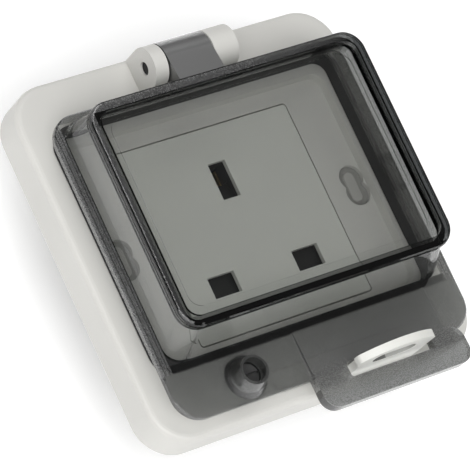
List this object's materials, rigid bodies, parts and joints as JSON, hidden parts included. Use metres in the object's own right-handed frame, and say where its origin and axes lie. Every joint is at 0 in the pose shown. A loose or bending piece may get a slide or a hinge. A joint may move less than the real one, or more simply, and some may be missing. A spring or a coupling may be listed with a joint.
{
  "type": "weatherproof socket outlet",
  "caption": "Square weatherproof panel socket outlet with a hinged smoked lid, padlock eye, gasket and shuttered three-pin module.",
  "frame": {"origin": "centre of the panel plane, where the panel gasket presses", "axes": "+Z out of the panel, +Y towards the lid's hinge, +X to the right seen from the front"},
  "size_m": [0.0844, 0.0894, 0.0474],
  "materials": {
    "base": "fine satin moulding, warm light grey",
    "eye": "semi-gloss near white",
    "smoke": "smoked clear moulding, glossy",
    "rubber": "soft black rubber",
    "dark": "dark glossy",
    "module": "smooth light grey white",
    "housing": "matt moulding",
    "shutter": "matt dark moulding",
    "steel": "bright zinc-coated",
    "brass": "plain brass"
  },
  "bodies": {
    "housing": {"base_frame": "base", "padlock_eye": "eye", "panel_gasket": "rubber", "hinge_pin": "steel", "socket_faceplate": "module", "contact_carrier": "housing", "rear_cover": "housing", "shutter_spring": "steel", "line_contact": "brass", "neutral_contact": "brass", "earth_contact": "brass", "line_terminal": "brass", "neutral_terminal": "brass", "earth_terminal": "brass", "terminal_screws": "steel", "body_screws": "steel"},
    "lid": {"lid": "smoke", "lid_gasket": "rubber", "lid_screw": "dark", "screw_retainer": "dark"},
    "shutter": {"shutter": "shutter"}
  },
  "joints": [
    {"name": "lid_hinge", "type": "hinge", "parent": "housing", "child": "lid", "pos_m": [0, 0.0371, 0.0155], "axis": [-1, 0, 0], "range_deg": [0, 180]},
    {"name": "shutter_slide", "type": "slide", "parent": "housing", "child": "shutter", "axis": [0, -1, 0], "range_m": [0, 0.0054], "stiffness_N_per_m": 150, "springref_m": -0.003, "deforming": ["shutter_spring"]}
  ]
}
